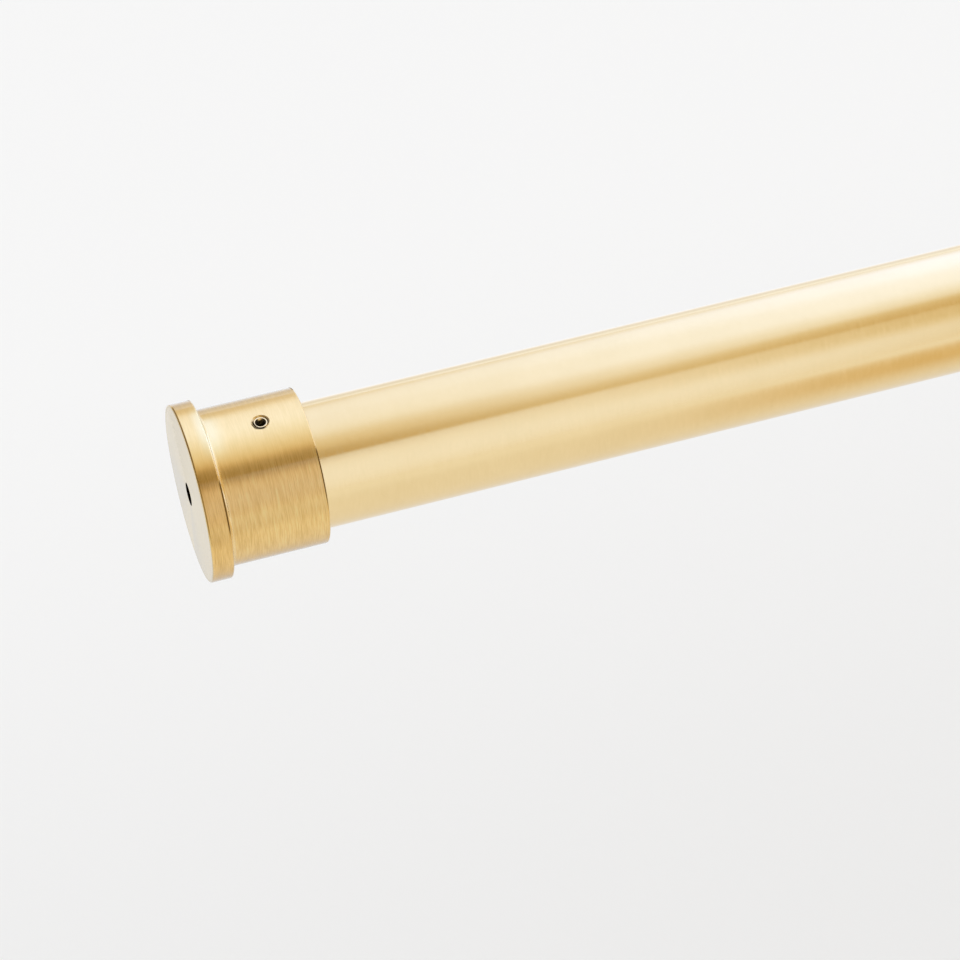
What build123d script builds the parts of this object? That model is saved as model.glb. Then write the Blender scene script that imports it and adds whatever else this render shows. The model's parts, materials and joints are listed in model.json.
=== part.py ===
from build123d import *

import os

# A telescoping curtain rod that spans two facing walls, held at each end by a flanged cup bracket.
# Millimetres. +X runs along the rod from the left wall, +Z is up, and the origin is the centre of
# the left bracket's wall face. A local bracket stands with its wall face on X = 0 and opens to +X.

# Outer tube
OUTER_TUBE_DIAMETER = 31.75
OUTER_TUBE_WALL = 0.9
OUTER_TUBE_LENGTH = 664.5
OUTER_TUBE_DEBURR = 0.2

# Inner tube, sized to slide in the outer one, and how far it is drawn out at rest
TELESCOPE_GAP = 0.6875
INNER_TUBE_WALL = 0.9
INNER_TUBE_SHORTER_BY = 30.8
INNER_TUBE_DEBURR = 0.2
REST_EXTENSION = 50.8

# Bracket: a round flange and a cup turned from one bar
CUP_WALL = 3.035
CUP_FLOOR_THICKNESS = 6.0
CUP_MOUTH_RADIUS = 0.35
CUP_ROOT_FILLET = 0.9
BRACKET_LENGTH = 30.2
FLANGE_STEP = 2.7
FLANGE_THICKNESS = 5.4
FLANGE_EDGE_RADIUS = 0.45
SCREW_HEAD_ROOM = 4.5

# Hole for the wall screw, countersunk from inside the cup
WALL_SCREW_HOLE_DIAMETER = 5.5
WALL_SCREW_SINK_DEPTH = 2.25

# Socket set screw that locks each tube in its cup
SET_SCREW_DIAMETER = 4.0
SET_SCREW_FROM_MOUTH = 11.0
SET_SCREW_FIT = 0.05
SET_SCREW_HOLE_SINK = 0.2
SET_SCREW_CHAMFER = 0.3
SET_SCREW_SOCKET_FLATS = 2.0
SET_SCREW_SOCKET_DEPTH = 2.0
SET_SCREW_SOCKET_SINK = 0.2
SET_SCREW_POINT_BREAK = 0.7
SET_SCREW_POINT_HOLLOW = 0.5
LEFT_SET_SCREW_LENGTH = 4.0
RIGHT_SET_SCREW_LENGTH = 5.0

# Fits. Each tube lies in its cup, pushed down by the set screw, with the seat gap under it.
CUP_CLEARANCE = 0.69
SEAT_GAP = 0.05
PUSH_FIT = 0.02
BUSH_RUNNING_FIT = 0.06
GLIDE_RUNNING_FIT = 0.08
SLEEVE_SLOT_CLEARANCE = 0.5

# Nylon pieces of the telescope and of the right cup
BUSH_LENGTH = 20.0
BUSH_LIP_LENGTH = 1.2
BUSH_LIP_SETBACK = 0.35
BUSH_GAP_WHEN_SHORTEST = 4.8
GLIDE_COLLAR_LENGTH = 8.0
GLIDE_SPIGOT_LENGTH = 15.0
GLIDE_WALL = 2.0
GLIDE_LEAD_IN = 0.6
SLEEVE_SETBACK = 0.5

# Radii worked out from the values above
outer_tube_radius = OUTER_TUBE_DIAMETER / 2
outer_tube_bore = outer_tube_radius - OUTER_TUBE_WALL
inner_tube_radius = outer_tube_bore - TELESCOPE_GAP
inner_tube_bore = inner_tube_radius - INNER_TUBE_WALL
cup_bore = outer_tube_radius + CUP_CLEARANCE
cup_radius = cup_bore + CUP_WALL
flange_radius = cup_radius + FLANGE_STEP
tube_drop = CUP_CLEARANCE - SEAT_GAP

# Places along X worked out from the values above
outer_tube_start = CUP_FLOOR_THICKNESS + SCREW_HEAD_ROOM
outer_tube_end = outer_tube_start + OUTER_TUBE_LENGTH
bush_face = outer_tube_end + BUSH_LIP_LENGTH
shortest_length = bush_face + BUSH_GAP_WHEN_SHORTEST + BRACKET_LENGTH
rest_length = shortest_length + REST_EXTENSION
inner_tube_end = rest_length - CUP_FLOOR_THICKNESS - SCREW_HEAD_ROOM
inner_tube_start = inner_tube_end - OUTER_TUBE_LENGTH + INNER_TUBE_SHORTER_BY
set_screw_place = BRACKET_LENGTH - SET_SCREW_FROM_MOUTH


def ring(outer_radius, inner_radius, start, end):
    """A plain ring around the X axis, from start to end along X."""
    plane = Plane(origin=(start, 0, 0), x_dir=(0, 1, 0), z_dir=(1, 0, 0))
    face = plane * (Circle(outer_radius) - Circle(inner_radius))
    return extrude(face, amount=end - start)


def turned(points):
    """A solid of revolution around the X axis from (x, radius) points."""
    outline = make_face(Polyline(points, close=True))
    return revolve(outline, axis=Axis.X)


def tube(outer_radius, wall, deburr, start, end):
    """A round tube on the tubes' shared axis, its cut ends lightly broken on the outside."""
    bore = outer_radius - wall
    profile = [
        (start, bore),
        (start, outer_radius - deburr),
        (start + deburr, outer_radius),
        (end - deburr, outer_radius),
        (end, outer_radius - deburr),
        (end, bore),
    ]
    return Pos(0, 0, -tube_drop) * turned(profile)


def bracket_blank():
    """The turned flange and cup, with rounded outer edges and a filleted root."""
    outline = make_face(
        Polyline(
            (0, 0),
            (0, flange_radius),
            (FLANGE_THICKNESS, flange_radius),
            (FLANGE_THICKNESS, cup_radius),
            (BRACKET_LENGTH, cup_radius),
            (BRACKET_LENGTH, cup_bore),
            (CUP_FLOOR_THICKNESS, cup_bore),
            (CUP_FLOOR_THICKNESS, 0),
            close=True,
        )
    )
    rounded = [
        (0, flange_radius, FLANGE_EDGE_RADIUS),
        (FLANGE_THICKNESS, flange_radius, FLANGE_EDGE_RADIUS),
        (FLANGE_THICKNESS, cup_radius, CUP_ROOT_FILLET),
        (BRACKET_LENGTH, cup_radius, CUP_MOUTH_RADIUS),
        (BRACKET_LENGTH, cup_bore, CUP_MOUTH_RADIUS),
    ]
    for x, radius, size in rounded:
        corner = outline.vertices().sort_by_distance((x, radius, 0))[0]
        outline = fillet(corner, size)
    return revolve(outline, axis=Axis.X)


def wall_screw_hole():
    """The through hole for the wall screw, with its countersink in the cup's floor."""
    hole_radius = WALL_SCREW_HOLE_DIAMETER / 2
    sink_radius = hole_radius + WALL_SCREW_SINK_DEPTH
    return turned(
        [
            (-1, 0),
            (-1, hole_radius),
            (CUP_FLOOR_THICKNESS - WALL_SCREW_SINK_DEPTH, hole_radius),
            (CUP_FLOOR_THICKNESS, sink_radius),
            (CUP_FLOOR_THICKNESS + 1, sink_radius),
            (CUP_FLOOR_THICKNESS + 1, 0),
        ]
    )


def set_screw_hole():
    """The tapped hole through the top of the cup's wall, plain at the thread's nominal size."""
    radius = SET_SCREW_DIAMETER / 2
    middle = (cup_radius + cup_bore) / 2
    hole = Pos(0, 0, middle) * Cylinder(radius, CUP_WALL + 2)
    sink = Pos(0, 0, cup_radius) * Cone(
        radius - SET_SCREW_HOLE_SINK, radius + 3 * SET_SCREW_HOLE_SINK, 4 * SET_SCREW_HOLE_SINK
    )
    return Pos(set_screw_place, 0, 0) * (hole + sink)


def bracket():
    """One bracket in its own place, with its wall face on X = 0."""
    return bracket_blank() - wall_screw_hole() - set_screw_hole()


def set_screw(length, tube_radius):
    """A socket set screw that points down, its hollow point one seat gap above the tube."""
    radius = SET_SCREW_DIAMETER / 2 - SET_SCREW_FIT
    point_radius = radius - SET_SCREW_POINT_BREAK
    socket_corner = SET_SCREW_SOCKET_FLATS / 2 / 0.75**0.5
    sink_radius = socket_corner + SET_SCREW_SOCKET_SINK
    body = Pos(0, 0, length / 2) * Cylinder(radius, length)
    body = chamfer(body.edges().group_by(Axis.Z)[-1], SET_SCREW_CHAMFER)
    body = chamfer(body.edges().group_by(Axis.Z)[0], SET_SCREW_POINT_BREAK)
    socket = Pos(0, 0, length - SET_SCREW_SOCKET_DEPTH) * extrude(
        RegularPolygon(socket_corner, 6), amount=SET_SCREW_SOCKET_DEPTH + 1
    )
    sink = Pos(0, 0, length - sink_radius / 2) * Cone(0, sink_radius, sink_radius)
    hollow = Pos(0, 0, SET_SCREW_POINT_HOLLOW / 2) * Cone(
        point_radius - SET_SCREW_CHAMFER, 0, SET_SCREW_POINT_HOLLOW
    )
    tip = tube_radius - tube_drop + SEAT_GAP
    return Pos(set_screw_place, 0, tip) * (body - socket - sink - hollow)


def mouth_bush():
    """Nylon bush pushed into the outer tube's right end; the inner tube runs in it."""
    bore = inner_tube_radius + BUSH_RUNNING_FIT
    sleeve = outer_tube_bore - PUSH_FIT
    lip = outer_tube_radius - BUSH_LIP_SETBACK
    body = ring(sleeve, bore, outer_tube_end - BUSH_LENGTH, bush_face)
    body += ring(lip, bore, outer_tube_end, bush_face)
    return Pos(0, 0, -tube_drop) * body


def tail_glide():
    """Nylon plug in the inner tube's hidden end; its collar runs in the outer tube."""
    spigot = inner_tube_bore - PUSH_FIT
    collar = outer_tube_bore - GLIDE_RUNNING_FIT
    bore = spigot - GLIDE_WALL
    collar_start = inner_tube_start - GLIDE_COLLAR_LENGTH
    return Pos(0, 0, -tube_drop) * turned(
        [
            (collar_start, bore),
            (collar_start, collar - GLIDE_LEAD_IN),
            (collar_start + GLIDE_LEAD_IN, collar),
            (inner_tube_start, collar),
            (inner_tube_start, spigot),
            (inner_tube_start + GLIDE_SPIGOT_LENGTH, spigot),
            (inner_tube_start + GLIDE_SPIGOT_LENGTH, bore),
        ]
    )


def adapter_sleeve():
    """Split nylon sleeve that packs the right cup down to the inner tube, slotted for the screw."""
    outside = cup_bore - PUSH_FIT
    bore = inner_tube_radius + CUP_CLEARANCE
    start = CUP_FLOOR_THICKNESS
    end = BRACKET_LENGTH - SLEEVE_SETBACK
    width = SET_SCREW_DIAMETER + 2 * SLEEVE_SLOT_CLEARANCE
    slot = Pos((start + end) / 2, 0, outside) * Box(end - start + 2, width, outside)
    return ring(outside, bore, start, end) - slot


def on_right_wall(shape):
    """Carries a piece of the left end's layout to the right wall, turned half round about Z."""
    return Pos(rest_length, 0, 0) * Rot(0, 0, 180) * shape


def main():
    """Builds every piece and writes each to its own file."""
    os.makedirs("parts", exist_ok=True)
    outer = tube(
        outer_tube_radius, OUTER_TUBE_WALL, OUTER_TUBE_DEBURR, outer_tube_start, outer_tube_end
    )
    inner = tube(
        inner_tube_radius, INNER_TUBE_WALL, INNER_TUBE_DEBURR, inner_tube_start, inner_tube_end
    )
    pieces = {
        "left_bracket": bracket(),
        "left_set_screw": set_screw(LEFT_SET_SCREW_LENGTH, outer_tube_radius),
        "outer_tube": outer,
        "mouth_bush": mouth_bush(),
        "inner_tube": inner,
        "tail_glide": tail_glide(),
        "right_bracket": on_right_wall(bracket()),
        "right_set_screw": on_right_wall(set_screw(RIGHT_SET_SCREW_LENGTH, inner_tube_radius)),
        "adapter_sleeve": on_right_wall(adapter_sleeve()),
    }
    for name, shape in pieces.items():
        export_step(shape, f"parts/{name}.step")


main()
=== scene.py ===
import json
import math

import bmesh
import bpy
import numpy as np
from mathutils import Matrix, Vector


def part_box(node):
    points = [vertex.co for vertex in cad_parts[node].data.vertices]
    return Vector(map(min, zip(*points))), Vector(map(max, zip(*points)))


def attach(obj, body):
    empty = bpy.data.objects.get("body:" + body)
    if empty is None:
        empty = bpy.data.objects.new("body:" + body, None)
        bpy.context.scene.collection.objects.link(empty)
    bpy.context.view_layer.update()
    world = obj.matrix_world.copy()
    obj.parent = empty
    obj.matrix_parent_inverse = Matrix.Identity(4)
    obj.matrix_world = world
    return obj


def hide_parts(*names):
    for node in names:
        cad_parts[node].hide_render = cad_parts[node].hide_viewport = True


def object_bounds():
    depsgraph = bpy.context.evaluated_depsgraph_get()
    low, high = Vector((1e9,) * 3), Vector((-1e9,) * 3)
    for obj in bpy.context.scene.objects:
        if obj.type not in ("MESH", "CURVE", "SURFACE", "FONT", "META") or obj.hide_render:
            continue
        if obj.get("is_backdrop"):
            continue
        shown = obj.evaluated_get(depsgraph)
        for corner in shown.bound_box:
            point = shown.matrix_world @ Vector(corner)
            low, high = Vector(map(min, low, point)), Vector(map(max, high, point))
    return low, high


bl_info = {
    "name": "Curtain Rod With Brackets",
    "version": (1, 0, 0),
    "blender": (4, 5, 0),
    "location": "3D View > Sidebar > Curtain Rod",
    "description": "Dresses a telescoping brass curtain rod and its two cup brackets",
    "category": "Object",
}

# The packed rod: bodies, nodes, joints and record, all in metres
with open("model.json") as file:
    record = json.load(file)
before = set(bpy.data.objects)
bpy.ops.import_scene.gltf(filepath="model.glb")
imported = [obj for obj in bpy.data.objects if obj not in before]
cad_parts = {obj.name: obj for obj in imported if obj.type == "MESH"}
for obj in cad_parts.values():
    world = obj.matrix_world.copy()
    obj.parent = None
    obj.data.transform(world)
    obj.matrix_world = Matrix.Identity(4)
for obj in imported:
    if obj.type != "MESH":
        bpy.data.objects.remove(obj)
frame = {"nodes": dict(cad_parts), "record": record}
cad_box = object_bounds()

MM = 0.001
SPAN = cad_box[1].x - cad_box[0].x
# Points nearer to each other than this are the same point
SAME = 0.001 * MM
# Half the thickness of a slice in which a piece's radii are read
SLICE = 0.01 * MM


# ---- sizes read from the frame


def corners_of(node_name):
    """A node's lowest and highest corners."""
    return [np.array(corner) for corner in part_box(node_name)]


class TurnedForm:
    """A turned piece read as places along X and distances from its own axis."""

    def __init__(self, node_name, axis=None):
        self.low, self.high = corners_of(node_name)
        self.start, self.end = self.low[0], self.high[0]
        self.axis = (self.low[1:] + self.high[1:]) / 2 if axis is None else np.array(axis)
        mesh = frame["nodes"][node_name].data
        flat = np.empty(3 * len(mesh.vertices), np.float32)
        mesh.vertices.foreach_get("co", flat)
        self.points = flat.reshape(-1, 3).astype(float)
        self.x = self.points[:, 0]
        self.radius = np.hypot(*(self.points[:, 1:] - self.axis).T)

    def radii(self, x_from, x_to):
        """Smallest and largest distance from the axis between two places along X."""
        inside = self.radius[(self.x >= x_from) & (self.x <= x_to)]
        return inside.min(), inside.max()


def bracket_sizes():
    """The bracket's radii and places along X, with its wall face at X = 0.

    Past 0.6 of its length there is only the cup, and all that stands over 1 mm out from the cup
    is the flange.
    """
    form = TurnedForm("left_bracket")
    screw_low, screw_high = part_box("left_set_screw")
    hole = next(m for m in frame["record"]["mounts"] if m["name"] == "left_wall_screw_hole")
    bore, cup = form.radii(0.6 * form.end, form.end)
    floor = form.x[np.abs(form.radius - bore) < SLICE].min()
    return {
        "length": form.end,
        "flange_radius": (form.high[2] - form.low[2]) / 2,
        "flange_end": form.x[form.radius > cup + 1 * MM].max(),
        "cup_radius": cup,
        "cup_bore": bore,
        "floor": floor,
        "hole_radius": hole["dims"]["r_mm"] * MM,
        "hole_length": hole["dims"]["length_mm"] * MM,
        "sink_radius": form.radii(floor - SLICE, floor + SLICE)[0],
        "screw_x": (screw_low.x + screw_high.x) / 2,
        "screw_radius": (screw_high.x - screw_low.x) / 2,
    }


def left_end(points):
    """Pieces of the left end are made where they lie."""
    return points


def right_end(points):
    """Carries points of the left end's layout to the right wall: half a turn about Z."""
    return points * (-1, -1, 1) + (SPAN, 0, 0)


# ---- surfaces

BRACKET_SEGMENTS = 320
TUBE_SEGMENTS = 224
SCREW_SEGMENTS = 96
ARC_STEPS = 6
# How far inside a straight side's ends its guard points lie
GUARD = 0.05 * MM
# Edges that turn by more than this stay sharp
SHARP = math.radians(38)


def grid_faces(rows, columns):
    """The faces that join each point of a grid to the next both ways."""
    index = np.arange(rows * columns).reshape(rows, columns)
    return np.stack([index[:-1, :-1], index[1:, :-1], index[1:, 1:], index[:-1, 1:]], -1)


def linked(name, data):
    """A new object of the scene that holds the data."""
    made = bpy.data.objects.new(name, data)
    bpy.context.scene.collection.objects.link(made)
    return made


class Skin:
    """Sheets of points gathered into one closed mesh.

    Every point of a sheet carries its distance across and along the grain of the finish, a mask
    that is 1 on a rounded edge, and a mask that is 1 down in a hole or bore, by which the
    materials paint shade.
    """

    def __init__(self):
        self.points, self.marks, self.faces = [], [], []
        self.count = 0

    def sheet(self, points, across, along, edge=0.0, recess=0.0, keep=None):
        """Adds an (n, m) sheet of points, with all its faces or those that keep names."""
        shape = points.shape[:2]
        marks = [np.broadcast_to(mark, shape) for mark in (across, along, edge, recess)]
        faces = self.count + grid_faces(*shape)
        self.faces.append(faces.reshape(-1, 4) if keep is None else faces[keep])
        self.points.append(points.reshape(-1, 3))
        self.marks.append(np.stack(marks, -1).reshape(-1, 4))
        self.count += shape[0] * shape[1]

    def make(self, name, place, material):
        """Welds the sheets, turns every face outwards and makes the object."""
        points, marks, faces = map(np.concatenate, (self.points, self.marks, self.faces))
        mesh = bpy.data.meshes.new(name)
        mesh.from_pydata(place(points).tolist(), [], faces.tolist())
        grain = mesh.uv_layers.new(name="grain").data
        grain.foreach_set("uv", marks[faces.ravel(), :2].ravel())
        for mask, values in zip(("edge", "recess"), marks[:, 2:].T):
            at_points = mesh.attributes.new(mask, "FLOAT", "POINT").data
            at_points.foreach_set("value", np.ascontiguousarray(values))
        weld(mesh)
        mesh.shade_smooth()
        mesh.set_sharp_from_angle(angle=SHARP)
        mesh.materials.append(material)
        return linked(name, mesh)


def weld(mesh):
    """Joins points that coincide, points all faces outwards and refuses an open mesh."""
    shape = bmesh.new()
    shape.from_mesh(mesh)
    bmesh.ops.remove_doubles(shape, verts=shape.verts, dist=SAME)
    bmesh.ops.recalc_face_normals(shape, faces=shape.faces)
    is_open = any(not edge.is_manifold for edge in shape.edges)
    shape.to_mesh(mesh)
    shape.free()
    if is_open:
        raise RuntimeError(f"{mesh.name} is not a closed surface")


def unit(ways):
    """Ways of length 1."""
    return ways / np.linalg.norm(ways, axis=-1, keepdims=True)


def corner_arc(spot, back, on, bend):
    """The arc that rounds a corner, or the corner itself where bend is 0.

    With back and on the unit ways to its neighbours and h half the angle between them, the arc
    runs round the point that lies bend / sin(h) from the corner towards back + on, and meets both
    sides bend / tan(h) from the corner. Its points share the sweep evenly.
    """
    if bend == 0:
        return spot[None]
    half = math.acos(float(np.clip(back @ on, -1, 1))) / 2
    centre = spot + unit(back + on) * bend / math.sin(half)
    start = spot + back * bend / math.tan(half) - centre
    end = spot + on * bend / math.tan(half) - centre
    share = np.linspace(0, 1, ARC_STEPS + 1)[:, None]
    sweep = math.pi - 2 * half
    arm = np.sin((1 - share) * sweep) * start + np.sin(share * sweep) * end
    return centre + arm / math.sin(sweep)


def straight_run(start, end, stops):
    """The points inside a straight side: two guards, and the stops if it runs along X."""
    side = end - start
    guard = GUARD / np.hypot(*side)
    if guard >= 0.2:
        return np.empty((0, 2))
    shares = np.array([guard, 1 - guard])
    if abs(side[1]) < SAME:
        inner = (stops - start[0]) / side[0]
        shares = np.append(shares, inner[(inner > guard) & (inner < 1 - guard)])
    return start + np.sort(shares)[:, None] * side


def rounded_outline(corners, stops=np.empty(0)):
    """A closed outline of (x, radius) points whose corners are arcs.

    A corner is (x, radius, bend, recess). A guard point just inside each end of a straight side
    keeps that side's shading flat, and the stops are places along X that get a point too. Returns
    the points, a mask that is 1 on the arcs, and the recess, the lower of two corners' between
    them.
    """
    at, (bends, recess) = np.array(corners, float)[:, :2], np.array(corners, float)[:, 2:].T
    before, after = (unit(np.roll(at, step, 0) - at) for step in (1, -1))
    arcs = [corner_arc(*corner) for corner in zip(at, before, after, bends)]
    rows = []
    for i, arc in enumerate(arcs):
        follower = (i + 1) % len(arcs)
        run = straight_run(arc[-1], arcs[follower][0], stops)
        low = min(recess[i], recess[follower])
        for points, edge, mask in ((arc, bends[i] > 0, recess[i]), (run, 0, low)):
            rows.append(np.column_stack([points, np.tile((edge, mask), (len(points), 1))]))
    outline = np.concatenate(rows + [rows[0][:1]])
    return outline[:, :2], outline[:, 2], outline[:, 3]


def run_lengths(outline):
    """The distance along an outline of each of its points, as a column."""
    steps = np.hypot(*np.diff(outline, axis=0).T)
    return np.concatenate([[0], np.cumsum(steps)])[:, None]


def all_round(segments):
    """Turns once round from straight down, counted from the front towards the top."""
    return np.linspace(-math.pi / 2, 1.5 * math.pi, segments + 1)


def turned_sheet(skin, outline, edge, recess, axis, turn, keep=None):
    """Carries an outline round the line parallel to X through axis, and gives its points.

    A point at (x, r) goes to (x, -r cos t, r sin t), with t the turns.
    """
    x, radius = outline[:, :1], outline[:, 1:]
    places = (x, axis[0] - radius * np.cos(turn), axis[1] + radius * np.sin(turn))
    points = np.stack(np.broadcast_arrays(*places), -1)
    along = radius * turn
    skin.sheet(points, run_lengths(outline), along, edge[:, None], recess[:, None], keep)
    return points


def threaded(radius, turn, height, screws):
    """A thread's radius: the crest's, less the ridge's depth at the root.

    The ridge is a triangle wave in height / pitch - turn / full turn, clipped flat below 0.15 and
    above 0.8 of its height.
    """
    phase = (height / screws.pitch - turn / (2 * math.pi)) % 1.0
    ridge = np.clip((1 - np.abs(2 * phase - 1) - 0.15) / 0.65, 0, 1)
    return radius - screws.thread_depth * (1 - ridge)


def near_turn(turn, middle, reach, fall):
    """1 near a turn given in degrees: (cosine of the way to it - reach) / fall, held to 0 and 1."""
    return np.clip((np.cos(turn - math.radians(middle)) - reach) / fall, 0, 1)


# ---- shader helpers


class Value:
    """A node's output that takes part in sums: each sign adds a node to its tree."""

    def __init__(self, socket):
        self.socket = socket


for sign, operation in (
        ("add", "ADD"), ("sub", "SUBTRACT"), ("mul", "MULTIPLY"), ("truediv", "DIVIDE")):
    setattr(Value, f"__{sign}__", lambda left, right, step=operation: maths(step, left, right))
    setattr(Value, f"__r{sign}__", lambda right, left, step=operation: maths(step, left, right))


def tree_of(*inputs):
    """The tree of the first node output among a node's inputs."""
    return next(given.socket.id_data for given in inputs if isinstance(given, Value))


def node(tree, kind, inputs=(), **settings):
    """Adds a node. An input given as a Value is linked, and any other is set."""
    made = tree.nodes.new(kind)
    for name, setting in settings.items():
        setattr(made, name, setting)
    for name, given in dict(inputs).items():
        if isinstance(given, Value):
            tree.links.new(given.socket, made.inputs[name])
        else:
            made.inputs[name].default_value = given
    return made


def output(tree, kind, inputs=(), which=0, **settings):
    """Adds a node and gives one of its outputs."""
    return Value(node(tree, kind, inputs, **settings).outputs[which])


def maths(operation, *inputs):
    """One step of arithmetic."""
    return output(tree_of(*inputs), "ShaderNodeMath", enumerate(inputs), operation=operation)


def fade(value, start, end, low=0.0, high=1.0):
    """Goes smoothly from low to high as value goes from start to end."""
    ends = {"Value": value, "From Min": start, "From Max": end, "To Min": low, "To Max": high}
    return output(tree_of(value), "ShaderNodeMapRange", ends, interpolation_type="SMOOTHSTEP")


def blended(share, first, second, way="MIX"):
    """Mixes two colours by a share."""
    inputs = {0: share, 6: first, 7: second}
    tree = tree_of(share, first, second)
    return output(tree, "ShaderNodeMix", inputs, 2, data_type="RGBA", blend_type=way)


def layered(base, *layers):
    """Lays colours over a base, each as (share, colour) or (share, colour, way of mixing)."""
    for share, colour, *way in layers:
        base = blended(share, base, colour, *way)
    return base


def noise(vector, scale, detail=2.0, roughness=0.5):
    """The value of a noise texture on a vector."""
    inputs = {"Vector": vector, "Scale": scale, "Detail": detail, "Roughness": roughness}
    return output(tree_of(vector), "ShaderNodeTexNoise", inputs, "Fac")


def place_on_piece(tree):
    """A point's place on its piece, in metres."""
    return output(tree, "ShaderNodeTexCoord", which="Object")


def split(vector):
    """The X, Y and Z of a vector."""
    parts = node(tree_of(vector), "ShaderNodeSeparateXYZ", {0: vector}).outputs
    return [Value(part) for part in parts]


def patches(tree, size, detail, roughness=0.5):
    """A noise over the piece, its patches about size mm wide."""
    return noise(place_on_piece(tree), 1 / MM / size, detail, roughness)


def skin_mask(tree, name):
    """One of the masks that a skin carries point by point."""
    return output(tree, "ShaderNodeAttribute", which="Fac", attribute_name=name)


def bumped(height, depth):
    """The surface bent by a height, whose full range is depth deep."""
    inputs = {"Height": height, "Strength": 1.0, "Distance": depth}
    return output(tree_of(height), "ShaderNodeBump", inputs, "Normal")


def shaded(colour, factor=1.0):
    """A colour made darker or lighter, with alpha 1."""
    return tuple(channel * factor for channel in colour[:3]) + (1.0,)


def toned(colour, amount):
    """A brass made lighter, or darker where amount is negative, most in blue and least in red."""
    return tuple(channel * (1 + amount * share) for channel, share in zip(
        colour, (0.8, 1.0, 1.7))) + (1.0,)


# ---- shared effects


def new_group(name, inputs):
    """Starts a shader node group with these numbers as inputs. Returns its tree and inputs."""
    tree = bpy.data.node_groups.new(name, "ShaderNodeTree")
    for label, default in inputs.items():
        socket = tree.interface.new_socket(label, in_out="INPUT", socket_type="NodeSocketFloat")
        socket.default_value = default
    given = node(tree, "NodeGroupInput").outputs
    return tree, {label: Value(given[label]) for label in inputs}


def put_out(tree, results):
    """Ends a group in these results."""
    for label in results:
        tree.interface.new_socket(label, in_out="OUTPUT", socket_type="NodeSocketFloat")
    node(tree, "NodeGroupOutput", results)
    return tree


def brushing():
    """Fine grooves round the piece: streaks that are thin across the grain and long along it.

    Noises read the distance across the grain times a fine, a middle and a coarse scale, with the
    place round the axis stretched out, so that each streak runs part of the way round. The
    scratches are the few places where one more such noise is highest. Where Wiped is 1, three
    quarters of all this is taken away.
    """
    tree, given = new_group("brushing", {
        "Grooves per mm": 5.0, "Streak length": 12.0, "Wiped": 0.0})
    across = split(output(tree, "ShaderNodeUVMap", uv_map="grain"))[0] / MM
    per_streak = 1 / MM / given["Streak length"]
    y, z = (side * per_streak for side in split(place_on_piece(tree))[1:])
    layers = []
    for fineness, stretch in ((1.0, 1.0), (0.45, 0.6), (0.15, 0.3), (1.3, 0.45)):
        place = {0: across * (given["Grooves per mm"] * fineness), 1: y * stretch, 2: z * stretch}
        vector = output(tree, "ShaderNodeCombineXYZ", place)
        layers.append(noise(vector, 1.0, roughness=0.6))
    fine, middle, coarse, scratches = layers
    height = fine * 0.6 + middle * 0.4
    tone = fade(height * 0.75 + coarse * 0.25, 0.36, 0.64)
    left = 1.0 - given["Wiped"] * 0.75
    return put_out(tree, {
        "Height": height * left,
        "Tone": (tone - 0.5) * left + 0.5,
        "Scratch": fade(scratches, 0.66, 0.74) * left})


def edge_wear():
    """Rounded edges worn bright: the edge mask broken up by a small noise."""
    tree, given = new_group("edge_wear", {"Patch size": 1.5})
    left = fade(patches(tree, given["Patch size"], 3.0), 0.25, 0.55, 0.8, 1.0)
    return put_out(tree, {"Worn": skin_mask(tree, "edge") * left})


def recess_shade_and_tarnish():
    """Holes and bores left as cut: the recess mask, by which the materials paint shade down in
    them, and blotches of oil and tarnish in it.
    """
    tree, given = new_group("recess_shade_and_tarnish", {"Patch size": 2.0})
    recess = skin_mask(tree, "recess")
    blotch = fade(patches(tree, given["Patch size"], 4.0, 0.6), 0.35, 0.7)
    return put_out(tree, {"Recess": recess, "Blotch": recess * blotch})


def handling():
    """Slow, faint unevenness of a handled finish: a broad noise and one seven times finer."""
    tree, given = new_group("handling", {"Patch size": 12.0})
    broad = patches(tree, given["Patch size"], 2.0)
    small = patches(tree, given["Patch size"] / 7.0, 3.0)
    return put_out(tree, {"Cloud": fade(broad * 0.7 + small * 0.3, 0.3, 0.7)})


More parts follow.
